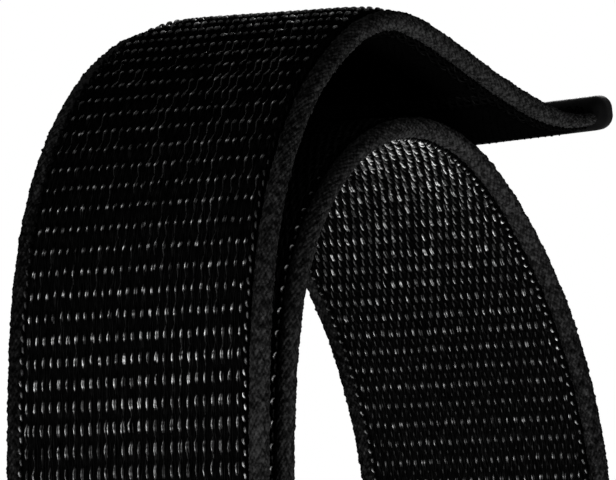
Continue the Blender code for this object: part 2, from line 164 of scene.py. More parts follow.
SELVAGE_CROWN = 0.00092
SELVAGE_STEPS = 8

# How floats vary: each pair is a value and what is added to it, by chance or with height
GAP_SPREAD = (0.55, 0.90)
CROWN_SPREAD = (0.88, 0.18)
WIDTH_SPREAD = (0.85, 0.30)
WIDTH_SWELL = (0.75, 0.25)
HEIGHT_SWELL = (0.70, 0.30)
SELVAGE_SWELL = (0.60, 0.40)
SHIFT_WANDER = 0.00003
TURN_WANDER = 0.00009

# A float over one row: its height as a share of its rise, and its sideways lean
PROFILE_STEPS = 201
PROFILE_WINDOW = 19
FLOAT_PLACES = (0.00, 0.08, 0.25, 0.42, 0.50, 0.58, 0.75, 0.92, 1.00)
INNER_HEIGHTS = (0.00, 0.30, 0.80, 0.98, 1.00, 0.98, 0.78, 0.24, 0.00)
OUTER_HEIGHTS = (0.00, 0.06, 0.44, 0.93, 1.00, 0.95, 0.52, 0.08, 0.00)
LEAN_PLACES = (0.00, 0.14, 0.30, 0.50, 0.70, 0.86, 1.00)
LOWER_LEAN = (0.00000, -0.00001, -0.00002, 0.00000, 0.00002, 0.00001, 0.00000)
UPPER_PLACES = (0.00, 0.16, 0.32, 0.42, 0.62, 0.80, 1.00)
UPPER_LEAN = (-0.00001, 0.00001, 0.00004, 0.00006, -0.00008, -0.00005, -0.00001)
LEAN_CHANGE = ((0.035, 0.048), (0.0, 1.0))
INNER_LEAN = (0.00000, 0.00002, 0.00004, 0.00000, -0.00004, -0.00002, 0.00000)
INNER_LEAN_CHANGE = ((0.050, 0.064, 0.074), (0.0, 0.5, 1.0))

# The painted glint on the floats' crowns: places along a run, where in its row it starts and ends
# there, and its power
OUTER_GLOW = (
    (0.020, 0.024, 0.028, 0.032, 0.036, 0.040, 0.046, 0.052, 0.060, 0.072, 0.084, 0.092),
    (0.22, 0.26, 0.29, 0.33, 0.38, 0.40, 0.39, 0.38, 0.37, 0.36, 0.34, 0.34),
    (0.86, 0.84, 0.79, 0.74, 0.70, 0.66, 0.63, 0.62, 0.63, 0.66, 0.66, 0.66),
    (0.62, 0.74, 1.06, 1.20, 1.26, 1.12, 0.86, 0.78, 0.82, 1.20, 0.90, 0.05),
)
INNER_GLOW = (
    (0.030, 0.052, 0.058, 0.066, 0.074, 0.080, 0.086, 0.096, 0.108),
    (0.34, 0.34, 0.32, 0.26, 0.22, 0.20, 0.18, 0.28, 0.34),
    (0.64, 0.64, 0.68, 0.73, 0.77, 0.79, 0.80, 0.70, 0.64),
    (0.51, 0.54, 0.66, 0.92, 1.08, 1.24, 1.48, 0.80, 0.54),
)
OUTER_OFFSET = 0.30
INNER_OFFSET = 0.80
EVEN = ((0.0, 0.2), (1.0, 1.0))
MINOR_WEIGHT = ((0.060, 0.068, 0.076, 0.082), (0.26, 0.34, 0.60, 0.95))
GLINT_SPLIT = 0.04

# How the painted glint varies from float to float, and fades at the two ends of a dash
SHINE_SHIFT = 0.03
SHINE_ONSET = 0.10
SHINE_FADE = 0.11
OUTER_SHINE = (0.74, 0.17)
SHINE_LIMITS = (0.20, 1.1)
INNER_SHINE = 1.25
INNER_SHINE_POWER = 1.4
INNER_LEAST_SHINE = ((0.058, 0.072), (0.50, 0.16))
DASH_FACING = 0.3
TRAIL_FACING = 0.9

# The second ply's least share of the painted glint, and how rarely it has more
OUTER_WEAK_PLY = (0.14, 3.0)
INNER_WEAK_PLY = (0.08, 1.3)

# Painted faint highlights on the floats' sides: strength along the outer run and across it, and
# their patches
TRAIL_POWER = 0.13
TRAIL_PLACES = (
    (0.017, 0.021, 0.023, 0.028, 0.036, 0.062, 0.070), (0.3, 0.6, 1.4, 0.6, 1.0, 0.7, 0.4),
)
TRAIL_COLUMNS = (
    (-0.010, -0.0075, -0.0045, -0.002, 0.003, 0.010), (0.55, 1.2, 1.4, 0.9, 0.5, 0.5),
)
TRAIL_WAVES = ((900, 300), (410, -640))
TRAIL_SWING = (0.75, 0.5)
TRAIL_CHANCE = 1.7
TRAIL_RARITY = 3
TRAIL_LIMITS = (0.42, 1.4)

# Power of the painted glint dashes on the near and far edge yarns, at places along each run
OUTER_SELVAGE = (
    (0.024, 0.034, 0.038, 0.042, 0.048, 0.056),
    (1.0, 0.74, 0.44, 0.24, 0.08, 0.02),
    (0.60, 0.45, 0.20, 0.02, 0.0, 0.0),
)
INNER_SELVAGE = ((0.050, 0.064, 0.090), (0.6, 1.1, 1.5), (0.6, 0.6, 0.6))
INNER_BACK_SELVAGE = ((0.104, 0.114), (0.0, 1.8), (0.0, 1.0))
OUTER_BACK_SELVAGE = ((0.0, 0.2), (0.0, 0.0), (0.0, 0.0))

# What every second dash has of it, and where in half a row a dash starts and ends
FACE_SECOND_DASH = 0.8
BACK_SECOND_DASH = 0.1
SELVAGE_DASH = (0.12, 0.62)
SELVAGE_FADE = 0.12
SELVAGE_TONE = (0.55, 0.45)

# Braid of the edge cords
BRAID_STRANDS = 14
BRAID_LENGTH = 0.00032
BRAID_SINK = 0.00008
BRAID_RISE = 1.5 * BRAID_SINK
BRAID_NOISE = 0.00005
BRAID_LUMP = 3
BRAID_SIDES = 18 * BRAID_LUMP
BRAID_STEP = 0.000112
STRAND_ROUND = 0.7
STRAND_CROWN = (0.45, 0.55)
SHADE_CELLS = (997, 991)
# Painted shade: the braid's tone is darker where its strands sink between others
PAINTED_CREVICE_SHADE = 0.55
SHADE_TONE = 0.45
END_LIMIT = 0.999

# Painted shade and painted light on the braids: how much darker or lighter they are at places along
# each run
CORD_PAINTED_SHADING = {
    ("outer", -1): ((0.030, 0.036, 0.046, 0.054, 0.060), (0.0, -0.16, -0.14, -0.06, 0.0)),
    ("outer", 1): ((0.020, 0.030, 0.042, 0.052), (-0.34, -0.50, -0.40, 0.20)),
    ("inner", -1): ((0.045, 0.057, 0.066, 0.080), (-0.36, -0.26, -0.08, 0.0)),
    ("inner", 1): ((0.040, 0.058, 0.064, 0.076), (-0.50, -0.50, -0.15, 0.12)),
}
CREST_CORD_LIFT = ((0.060, 0.064, 0.070, 0.074), (0.0, 0.00012, 0.00012, 0.0))

# Towards the tab's end the cords thin and sink a little
TAPER_PLACES = (0.0945, 0.0990, 0.1030, 0.1060)
TAPER_SCALES = (1.00, 0.86, 0.68, 0.62)
TAPER_DROP = 0.00045

# The tab's far side hangs lower than its near side
TAB_TWIST = math.radians(2.6)
TWIST_START_SHARE = 0.74

# The bar at the tab's end
TIP_SIDES = 32
TIP_END_STEPS = 8
LEAST_RADIUS = 0.00002
CORNER_NUDGE = 0.001

# Hooks under the flap, and their backing
HOOK_PITCH = 0.00068
HOOK_MARGIN = 1.6 * HOOK_INSET
HOOK_RISE = 0.00009
HOOK_REACH = 0.00010
HOOK_ROOT = 0.0002
HOOK_WIRE = 0.00004
HOOK_TURN = math.radians(215)
HOOK_TURN_STEPS = 8
HOOK_SIDES = 4
HOOK_SIZES = (0.6, 0.9)
HOOK_BACKING = 0.00012
BACKING_DEPTH = 0.0003
BACKING_BEVEL = 0.0001
BACKING_STEP = 0.0004

# Stitches that hold the folded tail, and where they may come out behind it
STITCH_PLACES = (0.0015, 0.0035, 0.0055)
STITCH_LENGTH = 0.0021
STITCH_PITCH = 0.0027
STITCH_RADIUS = 0.00017
STITCH_LEVEL = 0.00108
STITCH_FLATNESS = 4
STITCH_SIDES = 8
STITCH_STEPS = 9
BEHIND_PLACES = (0.015, 0.045, 601)

# Coils under the latches
SPRING_WIRE = 0.00022
SPRING_TURNS = 3
SPRING_TURN_STEPS = 28
SPRING_SIDES = 10

# Mottling of plain surfaces: the noise's range, and shares of the colour and roughness
MOTTLE_NOISE = (0.3, 0.7)
MOTTLE_COLOUR = (0.75, 1.2)
MOTTLE_ROUGHNESS = (0.85, 1.15)

random = np.random.default_rng(20240)


# Paths in the XZ plane, the same curves as the solids' own


def heading(angle):
    return np.array((math.cos(angle), math.sin(angle)))


def arc(centre, radius, start, end):
    count = max(2, round(ARC_SIDES * abs(end - start) / math.tau))
    return [centre + radius * heading(angle) for angle in np.linspace(start, end, count + 1)]


def running_length(path):
    steps = np.hypot(*np.diff(path, axis=0).T)
    return np.concatenate(((0.0,), np.cumsum(steps)))


def spline_slopes(knots, spans, start, end):
    count = len(knots)
    matrix = np.eye(count)
    slopes = np.zeros((count, 2))
    slopes[0] = heading(start)
    slopes[-1] = heading(end)
    for i in range(1, count - 1):
        before, after = spans[i - 1], spans[i]
        matrix[i, i - 1:i + 2] = after, 2 * (before + after), before
        rise_before = (knots[i] - knots[i - 1]) / before
        rise_after = (knots[i + 1] - knots[i]) / after
        slopes[i] = 3 * (after * rise_before + before * rise_after)
    return np.linalg.solve(matrix, slopes)


def smooth_path(knots, start, end, step):
    knots = np.array(knots)
    spans = np.hypot(*np.diff(knots, axis=0).T)
    slopes = spline_slopes(knots, spans, start, end)
    fine = []
    for i, span in enumerate(spans):
        for u in np.linspace(0, 1, SPLINE_STEPS, endpoint=False):
            fine.append(
                (2 * u**3 - 3 * u**2 + 1) * knots[i]
                + (u**3 - 2 * u**2 + u) * span * slopes[i]
                + (3 * u**2 - 2 * u**3) * knots[i + 1]
                + (u**3 - u**2) * span * slopes[i + 1]
            )
    fine = np.array(fine + [knots[-1]])
    along = running_length(fine)
    places = np.linspace(0, along[-1], max(4, round(along[-1] / step)) + 1)
    return np.column_stack([np.interp(places, along, fine[:, axis]) for axis in (0, 1)])


def loop_point(depth_share, height_share):
    return np.array((depth_share * LOOP_DEPTH, BAR_Z + height_share * LOOP_HEIGHT))


def inner_path():
    """From the sewn tail round the fixed bar, over the wrist and round the slot bar."""
    fixed_bar = np.array((BAR_X, BAR_Z))
    slot_bar = np.array((-BAR_X, BAR_Z))
    closing = 2 * FOLD_RADIUS - STRAP_THICKNESS - SEAM_GAP
    lean = math.asin(closing / TAIL_LENGTH)
    wrap = arc(fixed_bar, FOLD_RADIUS, math.pi - lean, math.tau)
    tail_end = wrap[0] + TAIL_LENGTH * heading(UP - lean)
    tail = list(np.linspace(tail_end, wrap[0], TAIL_STEPS, endpoint=False))
    knots = [wrap[-1]]
    knots += [loop_point(*share) for share in INNER_RUN_SHARES]
    knots += [slot_bar + FOLD_RADIUS * heading(0)]
    run = smooth_path(knots, UP, DOWN, FINE_STEP)
    fold = arc(slot_bar, FOLD_RADIUS, 0, -math.pi)
    end = fold[-1] + (FOLD_JOIN_HEIGHT - BAR_Z) * heading(UP)
    rise = list(np.linspace(fold[-1], end, RISE_STEPS)[1:])
    return np.array(tail + wrap + list(run[1:-1]) + fold + rise)


def outer_path():
    """From above the slot bar up the outside, over the crest and out to the tab."""
    start = np.array((-BAR_X - FOLD_RADIUS, FOLD_JOIN_HEIGHT))
    knots = [start] + [loop_point(*share) for share in OUTER_RUN_SHARES]
    return smooth_path(knots, UP, TAB_CURL, FINE_STEP)


class Route:
    """A path that can be read at any distance along it, and beside it."""

    def __init__(self, path, twist=0.0):
        tangents = np.gradient(path, axis=0)
        tangents /= np.hypot(*tangents.T)[:, None]
        self.along = running_length(path)
        self.length = self.along[-1]
        share = self.along / self.length
        reach = np.clip((share - TWIST_START_SHARE) / (1 - TWIST_START_SHARE), 0, 1)
        drop = math.tan(twist) * reach**2 * (3 - 2 * reach)
        self.columns = np.column_stack((path, -tangents[:, 1], tangents[:, 0], drop))

    def at(self, along, across, out):
        """Points at a distance along, across the strap, and out from its middle to the left."""
        along, across, out = np.broadcast_arrays(along, across, out)
        x, z, side_x, side_z, drop = (
            np.interp(along, self.along, column) for column in self.columns.T
        )
        out = out - drop * (across + CORD_Y)
        return np.stack((x + out * side_x, across, z + out * side_z), -1)

    def point(self, along):
        return Vector(self.at(along, 0.0, 0.0))


INNER = Route(inner_path())
OUTER = Route(outer_path(), TAB_TWIST)
ROOT = ROOT_BEND_SHARE * OUTER.length
CREST = CREST_BEND_SHARE * OUTER.length
TAB = TAB_BEND_SHARE * OUTER.length
WEB_END = OUTER.length - TIP_LENGTH


# Meshes


class Sheets:
    """Collects grids of points, each with its own faces, maps and marks, into one mesh."""

    def __init__(self):
        self.points, self.faces, self.caps, self.bake, self.fibre = [], [], [], [], []
        self.marks = {"painted_glint": [], "tone": []}
        self.count = 0

    def tubes(self, points, fibre, painted_glint=0.0, tone=0.5):
        """Closed tubes from an array of tube, step, side and coordinate."""
        tubes, steps, sides, _ = points.shape
        index = self.count + np.arange(tubes * steps * sides).reshape(tubes, steps, sides)
        after = np.roll(index, -1, axis=2)
        quads = np.stack((index[:, :-1], after[:, :-1], after[:, 1:], index[:, 1:]), -1)
        self.faces.append(quads.reshape(-1, 4))
        share = np.arange(sides + 1) / sides
        left, right = np.meshgrid(np.arange(tubes), share[:-1], indexing="ij")
        for maps, scale_u, rows in (
            (self.bake, 1 / tubes, np.linspace(0, 1, steps)[None, :, None]),
            (self.fibre, 1.0, np.broadcast_to(fibre, (tubes, steps))[:, :, None]),
        ):
            low_u = (left + right)[:, None, :] * scale_u + 0 * rows[:, :-1]
            high_u = low_u + scale_u / sides
            low_v = rows[:, :-1] + 0 * low_u
            high_v = rows[:, 1:] + 0 * low_u
            u = np.stack((low_u, high_u, high_u, low_u), -1)
            v = np.stack((low_v, low_v, high_v, high_v), -1)
            maps.append(np.stack((u, v), -1).reshape(-1, 4, 2))
        self.caps += [index[:, 0, ::-1], index[:, -1]]
        self.points.append(points.reshape(-1, 3))
        for name, value in (("painted_glint", painted_glint), ("tone", tone)):
            self.marks[name].append(np.broadcast_to(value, (tubes, steps, sides)).ravel())
        self.count += tubes * steps * sides

    def build(self, name, *materials):
        """The mesh object. Where it has two materials, its faces with painted glint wear the
        second.
        """
        points = np.concatenate(self.points)
        quads = np.concatenate(self.faces)
        corners = points[quads]
        flux = np.cross(corners[:, 1] - corners[:, 0], corners[:, 2] - corners[:, 0])
        volume = np.einsum("ij,ij->", flux, corners[:, 0] - points.mean(axis=0))
        caps = [cap for group in self.caps for cap in group]
        turn = -1 if volume < 0 else 1
        faces = quads[:, ::turn].tolist() + [list(map(int, cap[::turn])) for cap in caps]
        mesh = bpy.data.meshes.new(name)
        mesh.from_pydata(points.tolist(), [], faces)
        capped = sum(len(cap) for cap in caps)
        for layer, parts in (("OFBake", self.bake), ("Fibre", self.fibre)):
            places = np.concatenate(parts)[:, ::turn].reshape(-1, 2)
            places = np.concatenate((places, np.zeros((capped, 2)))).astype(np.float32)
            mesh.uv_layers.new(name=layer).data.foreach_set("uv", places.ravel())
        for label, parts in self.marks.items():
            mark = mesh.attributes.new(label, "FLOAT", "POINT")
            mark.data.foreach_set("value", np.concatenate(parts).astype(np.float32))
        if len(materials) > 1:
            bright = np.concatenate(self.marks["painted_glint"])[quads].mean(axis=1) > GLINT_SPLIT
            slots = np.concatenate((bright.astype(np.int32), np.zeros(len(caps), np.int32)))
            mesh.polygons.foreach_set("material_index", slots)
        for material in materials:
            mesh.materials.append(material)
        mesh.shade_smooth()
        mesh.update()
        obj = bpy.data.objects.new(name, mesh)
        bpy.context.scene.collection.objects.link(obj)
        return obj


def spread(pair, share):
    """The first of a pair, plus the second times a share."""
    return pair[0] + pair[1] * share


def lit(strength, facing, reach):
    """Painted glint on the sides of a yarn that face away from the strap."""
    return strength[..., None] * np.clip(facing + reach, 0, 1)


def face_bulge(route, along, across, face):
    """How far the web swells out in its middle, and further over the crest's outer face."""
    rise = FACE_BULGE
    if route is OUTER and face > 0:
        swell = np.interp(along, *CREST_SWELL)
        rise = swell + (swell - FACE_BULGE) * SWELL_SLANT * across / SELVAGE_Y
    return rise * (1 - np.minimum(np.abs(across) / GROUND_HALF_WIDTH, 1) ** BULGE_POWER)


def yarn_points(route, along, across, out, half_width, half_height, face):
    """Rings of flattened yarns whose middles lie at along, across and out, on one face."""
    out = out + face_bulge(route, along, across, face)
    slope = np.gradient(out, axis=1) / np.gradient(along, axis=1)
    tilt = np.arctan(slope)[..., None]
    angles = UP + np.arange(YARN_SIDES) * math.tau / YARN_SIDES
    lift = np.asarray(half_height)[..., None] * np.sin(angles)
    side = np.asarray(half_width)[..., None] * np.cos(angles)
    ring_along = along[..., None] - lift * np.sin(tilt)
    ring_out = out[..., None] + lift * np.cos(tilt)
    return route.at(ring_along, across[..., None] + side, face * ring_out), np.sin(angles)


def soft_steps(places, values):
    """A profile over one row, smoothed, and periodic at its ends."""
    fine = np.linspace(0, 1, PROFILE_STEPS)
    window = np.hanning(PROFILE_WINDOW)
    window /= window.sum()
    profile = np.interp(fine, places, values)
    half = PROFILE_WINDOW // 2
    padded = np.concatenate((profile[-half - 1:-1], profile, profile[1:half + 1]))
    return fine, np.convolve(padded, window, mode="valid")


INNER_PROFILE = soft_steps(FLOAT_PLACES, INNER_HEIGHTS)
OUTER_PROFILE = soft_steps(FLOAT_PLACES, OUTER_HEIGHTS)
LOWER_LEAN_PROFILE = soft_steps(LEAN_PLACES, LOWER_LEAN)
UPPER_LEAN_PROFILE = soft_steps(UPPER_PLACES, UPPER_LEAN)
INNER_LEAN_PROFILE = soft_steps(LEAN_PLACES, INNER_LEAN)


def row_steps(start, end, offset, places):
    """Distances along a run at the same places of every row, and at its two ends."""
    rows = np.arange(math.floor(start / ROW_PITCH), math.ceil(end / ROW_PITCH) + 2)
    along = ((rows[:, None] + np.array(places) - offset) * ROW_PITCH).ravel()
    margin = ROW_PITCH * ROW_END_SHARE
    inside = along[(along > start + margin) & (along < end - margin)]
    return np.concatenate(((start,), inside, (end,)))


def random_floats(row, columns, kind):
    """One random value for each float, spread over the steps along it."""
    values = getattr(random, kind)(size=(len(columns), row.max() + 1))
    return values[:, row]


def trail_strength(along, columns):
    """Patches of the outer run where the floats' sides get a faint painted highlight as lines."""
    waves = 1.0
    for by_column, by_place in TRAIL_WAVES:
        waves = waves * np.sin(columns[:, None] * by_column + along * by_place)
    middle = np.interp(columns, *TRAIL_COLUMNS)[:, None]
    return np.interp(along, *TRAIL_PLACES) * middle * spread(TRAIL_SWING, waves)


def float_lean(along, local, inner):
    """How far a float leans sideways at each place in its row, which changes along the run."""
    if inner:
        return np.interp(local, *INNER_LEAN_PROFILE) * np.interp(along, *INNER_LEAN_CHANGE)
    change = np.interp(along, *LEAN_CHANGE)
    lower, upper = (np.interp(local, *lean) for lean in (LOWER_LEAN_PROFILE, UPPER_LEAN_PROFILE))
    return lower * (1 - change) + upper * change


def float_painted_glint(inner, along, columns, phase, row, ply, glow, weight):
    """The painted glint of the dash on each float's crown, and the painted highlight on its faint
    sides between two rows.
    """
    local = (phase % 1.0)[None, :]
    first, last, power = (np.interp(along, glow[0], values)[None, :] for values in glow[1:])
    shift = SHINE_SHIFT * random_floats(row, columns, "standard_normal")
    share = spread(OUTER_SHINE, random_floats(row, columns, "standard_normal"))
    share = np.clip(share, *SHINE_LIMITS)
    if inner:
        least = np.interp(along, *INNER_LEAST_SHINE)[None, :]
        chance = random_floats(row, columns, "random") ** INNER_SHINE_POWER
        share = INNER_SHINE * (least + (1 - least) * chance)
        power = power * np.interp(along, *weight)[None, :]
    window = np.clip((local + shift - first) / SHINE_ONSET, 0, 1)
    window = window * np.clip((last - local - shift) / SHINE_FADE, 0, 1)
    between = np.floor(phase + 0.5).astype(int)
    between -= between.min()
    chance = random_floats(between, columns, "random") ** TRAIL_RARITY
    trail = TRAIL_POWER * np.clip(TRAIL_CHANCE * chance, *TRAIL_LIMITS)
    trail = trail * (0.0 if inner or ply < 0 else trail_strength(along, columns))
    if ply < 0:
        weak, rarity = INNER_WEAK_PLY if inner else OUTER_WEAK_PLY
        chance = random_floats(row, columns, "random") ** rarity
        share = share * (weak + (1 - weak) * chance)
    return power * share * window, trail


def add_floats(
    sheets, route, start, end, columns, face, offset, crown, ply, glow=None, weight=EVEN,
):
    """Warp yarns that rise once a row, lean as they float, and dive below the ground.

    One call lays one of each float's two plies, or a broad one where ply is 0.
    """
    inner = route is INNER
    outer_face = bool(glow) and not inner
    steps = OUTER_STEPS if outer_face else INNER_STEPS if glow else DULL_STEPS
    along = row_steps(start, end, offset, steps)
    phase = along / ROW_PITCH + offset + PHASE_NUDGE
    row = np.floor(phase).astype(int)
    row -= row.min()
    local = (phase % 1.0)[None, :]
    height = np.interp(local, *(OUTER_PROFILE if outer_face else INNER_PROFILE))
    arch = np.sqrt(np.sin(math.pi * local))
    tone = random_floats(row, columns, "random")
    gap = ply * PLY_GAP / 2 * arch * spread(GAP_SPREAD, random_floats(row, columns, "random"))
    if not inner:
        gap = gap * np.interp(along, *PLY_CLOSING)
    wander = SHIFT_WANDER * random_floats(row, columns, "standard_normal") * arch
    wander += TURN_WANDER * random_floats(row, columns, "standard_normal") * (local - 0.5) * arch
    across = columns[:, None] + float_lean(along, local, inner) + gap + wander
    dive = OUTER_DIVE if outer_face else INNER_DIVE
    gain = np.interp(along, *CROWN_GAIN) * height if outer_face else 0.0
    out = dive + height * (crown - dive) * spread(CROWN_SPREAD, tone) + gain / 2
    swell = np.sqrt(height)
    width = PLY_WIDTH if ply else PILE_WIDTH
    half_width = width / 2 * spread(WIDTH_SWELL, swell) * spread(WIDTH_SPREAD, tone)
    half_height = PLY_HEIGHT / 2 * spread(HEIGHT_SWELL, swell) + gain / 2
    places = np.broadcast_to(along, across.shape)
    points, facing = yarn_points(route, places, across, out, half_width, half_height, face)
    dash, trail = 0.0 * tone, 0.0 * tone
    # Painted glint on the crowns and painted highlight on the sides, for the glint yarn's colour
    if glow:
        dash, trail = float_painted_glint(inner, along, columns, phase, row, ply, glow, weight)
    shine = np.maximum(lit(dash, facing, DASH_FACING), lit(trail, facing, TRAIL_FACING))
    sheets.tubes(points, along * MM, shine, tone[..., None])


def puff_wave(along):
    """The ground swells a little between the rows and is drawn in under them."""
    return np.cos(along / ROW_PITCH * math.tau + PUFF_PHASE)


def add_binders(sheets, route, start, end, columns, face):
    """Fine straight yarns that cover the ground between the floats."""
    count = round((end - start) / BINDER_STEP)
    along = np.broadcast_to(np.linspace(start, end, count + 1), (len(columns), count + 1))
    shift = random.random((len(columns), 1)) * math.tau
    wave = np.sin(along / ROW_PITCH * math.tau * BINDER_WAVES + shift)
    across = columns[:, None] + BINDER_WANDER * wave
    out = BINDER_LEVEL + GROUND_PUFF * puff_wave(along)
    if route is OUTER:
        out = out + np.interp(along, *BINDER_GAIN)
    half, half_height = (np.full(along.shape, size / 2) for size in (BINDER_WIDTH, BINDER_HEIGHT))
    points, _ = yarn_points(route, along, across, out, half, half_height, face)
    tone = random.random((len(columns), 1, 1))
    sheets.tubes(points, along * MM, 0.0, tone)


def add_selvage(sheets, route, start, end, face, offset, powers, second):
    """One yarn along each edge of the web, with a short painted glint dash twice a row."""
    columns = (SELVAGE_Y if face > 0 else SELVAGE_BACK_Y) * np.array((-1, 1))
    half_pitch = ROW_PITCH / 2
    count = round((end - start) / half_pitch * SELVAGE_STEPS)
    along = np.broadcast_to(np.linspace(start, end, count + 1), (2, count + 1))
    phase = along / half_pitch + 2 * offset
    row = np.floor(phase).astype(int)
    row -= row.min()
    local = phase % 1.0
    tone = random.random((2, row.max() + 2))[:, row[0]]
    height = np.interp(local, *INNER_PROFILE)
    side = np.where(row % 2, 1, -1)
    across = columns[:, None] + SELVAGE_SHIFT * side * np.sin(math.pi * local)
    out = INNER_DIVE + height * (SELVAGE_CROWN - INNER_DIVE)
    half = SELVAGE_WIDTH / 2 * spread(SELVAGE_SWELL, np.sqrt(height))
    points, facing = yarn_points(route, along, across, out, half, half, face)
    first, last = SELVAGE_DASH
    window = np.clip((local - first) / SELVAGE_FADE, 0, 1)
    window = window * np.clip((last - local) / SELVAGE_FADE, 0, 1)
    paired = np.where(row % 2, 1.0, second)
    power = np.stack([np.interp(along[0], powers[0], values) for values in powers[1:]])
    dash = power * paired * window * spread(SELVAGE_TONE, tone)
    sheets.tubes(points, along * MM, lit(dash, facing, DASH_FACING), tone[..., None])


def ground_outline():
    """The ground's cross-section once round, as y and out, from its far edge."""
    corner = [
        (GROUND_HALF_WIDTH - GROUND_EDGE * (1 - math.cos(angle)), GROUND_HALF * math.sin(angle))
        for angle in np.linspace(0, UP, GROUND_EDGE_STEPS)
    ]
    flat = np.linspace(GROUND_HALF_WIDTH - GROUND_EDGE, 0, GROUND_FLAT_STEPS)[1:]
    half = corner + [(y, GROUND_HALF) for y in flat]
    upper = half + [(-y, out) for y, out in half[-2::-1]]
    return np.array(upper + [(y, -out) for y, out in upper[-2:0:-1]])


def add_ground(sheets, route, start, end):
    """The dark woven body that the yarns bind."""
    outline = ground_outline()
    count = round((end - start) / GROUND_STEP)
    along = np.linspace(start, end, count + 1)[:, None]
    puff = 1 + GROUND_PUFF / GROUND_HALF * puff_wave(along)
    across, out = outline[None, :, 0], outline[None, :, 1]
    upper = face_bulge(route, along, across, 1) * (out > 0)
    lower = face_bulge(route, along, across, -1) * (out < 0)
    points = route.at(along, across, out * puff + upper - lower)
    sheets.tubes(points[None], along.ravel() * MM)


def add_cord(sheets, route, start, end, side, round_end):
    """A round braid: crossing strands, each going over and under."""
    count = round((end - start) / BRAID_STEP)
    along = np.linspace(start, end, count + 1)
    angles = np.arange(BRAID_SIDES) * math.tau / BRAID_SIDES
    turn = angles[None, :] * BRAID_STRANDS / math.tau
    travel = along[:, None] / (2 * BRAID_LENGTH)
    first, second = turn + travel, turn - travel
    over = (np.floor(first) + np.floor(second)) % 2 == 0
    bumps = [np.sin(math.pi * (strand % 1.0)) ** STRAND_ROUND for strand in (first, second)]
    crossed = [bumps[i] * spread(STRAND_CROWN, bumps[1 - i]) for i in (0, 1)]
    rise = np.where(over, *crossed)
    strands = zip((first, second), SHADE_CELLS)
    cells = [np.floor(strand).astype(int) % size for strand, size in strands]
    shade = random.random(SHADE_CELLS)[tuple(cells)]
    lumps = random.normal(0, 1, (len(along) // BRAID_LUMP + 2, BRAID_SIDES // BRAID_LUMP))
    lumps = np.repeat(np.repeat(lumps, BRAID_LUMP, axis=0)[:len(along)], BRAID_LUMP, axis=1)
    for axis in (0, 1):
        lumps = (lumps + np.roll(lumps, 1, axis) + np.roll(lumps, -1, axis)) / 3
    radius = CORD_RADIUS - BRAID_SINK + BRAID_RISE * rise + BRAID_NOISE * lumps
    scale, closing = np.ones_like(along), np.ones_like(along)
    if route is OUTER:
        scale = np.interp(along, TAPER_PLACES, TAPER_SCALES)
    if round_end:
        closing = np.sqrt(1 - np.clip(1 - (end - along) / CORD_RADIUS, 0, END_LIMIT) ** 2)
    radius = radius * (closing * scale)[:, None]
    sink = TAPER_DROP * (1 - scale)[:, None]
    if route is OUTER and side < 0:
        sink = sink - np.interp(along, *CREST_CORD_LIFT)[:, None]
    across = side * CORD_Y + radius * np.cos(angles)
    points = route.at(along[:, None], across, radius * np.sin(angles) - sink)
    # Painted shade and light along the run, and painted shade where strands sink, go into the tone
    # with its random cells
    darker = np.interp(along, *CORD_PAINTED_SHADING["inner" if route is INNER else "outer", side])
    tone = PAINTED_CREVICE_SHADE * rise + SHADE_TONE * shade + darker[:, None]
    sheets.tubes(points[None], along * MM, 0.0, tone[None])


# Materials


def new_material(name, colour, roughness, specular):
    material = bpy.data.materials.new(name)
    material.use_nodes = True
    tree = material.node_tree
    shader = tree.nodes["Principled BSDF"]
    shader.inputs["Base Color"].default_value = (*colour, 1)
    shader.inputs["Roughness"].default_value = roughness
    shader.inputs["Specular IOR Level"].default_value = specular
    return material, tree.nodes, tree.links, shader


def add_node(nodes, kind, **values):
    node = nodes.new(kind)
    for key, value in values.items():
        setattr(node, key, value)
    return node


def make_noise(nodes, links, place, scale, detail):
    noise = nodes.new("ShaderNodeTexNoise")
    noise.inputs["Scale"].default_value = scale
    noise.inputs["Detail"].default_value = detail
    links.new(place, noise.inputs["Vector"])
    return noise


def fibre_streaks(nodes, links, across, along, detail):
    """Noise drawn out along the yarn, read from the map that follows the yarns."""
    place = add_node(nodes, "ShaderNodeUVMap", uv_map="Fibre")
    scale = nodes.new("ShaderNodeMapping")
    scale.inputs["Scale"].default_value = (across, along, 1)
    links.new(place.outputs["UV"], scale.inputs["Vector"])
    return make_noise(nodes, links, scale.outputs["Vector"], 1.0, detail)


def speckle(nodes, links, scale, detail):
    """Noise of one size all over a piece."""
    place = nodes.new("ShaderNodeTexCoord")
    return make_noise(nodes, links, place.outputs["Object"], scale, detail)


def shade(nodes, links, source, stops, socket):
    """Set a socket from a value, through a ramp."""
    ramp = nodes.new("ShaderNodeValToRGB")
    elements = ramp.color_ramp.elements
    while len(elements) < len(stops):
        elements.new(0.5)
    for element, (place, value) in zip(elements, stops):
        element.position = place
        element.color = (*value, 1) if isinstance(value, tuple) else (value, value, value, 1)
    links.new(source, ramp.inputs["Fac"])
    links.new(ramp.outputs["Color"], socket)


def add_bump(nodes, links, shader, height, strength, distance):
    bump = nodes.new("ShaderNodeBump")
    bump.inputs["Strength"].default_value = strength
    bump.inputs["Distance"].default_value = distance
    links.new(height, bump.inputs["Height"])
    links.new(bump.outputs["Normal"], shader.inputs["Normal"])


def make_matt_yarn(name, grey, streaks, stops, strength, distance):
    """Dull filaments, darker and lighter along the yarn."""
    material, nodes, links, shader = new_material(name, (grey,) * 3, 0.9, 0.0)
    noise = fibre_streaks(nodes, links, *streaks)
    shade(nodes, links, noise.outputs["Fac"], stops, shader.inputs["Base Color"])
    add_bump(nodes, links, shader, noise.outputs["Fac"], strength, distance)
    return material


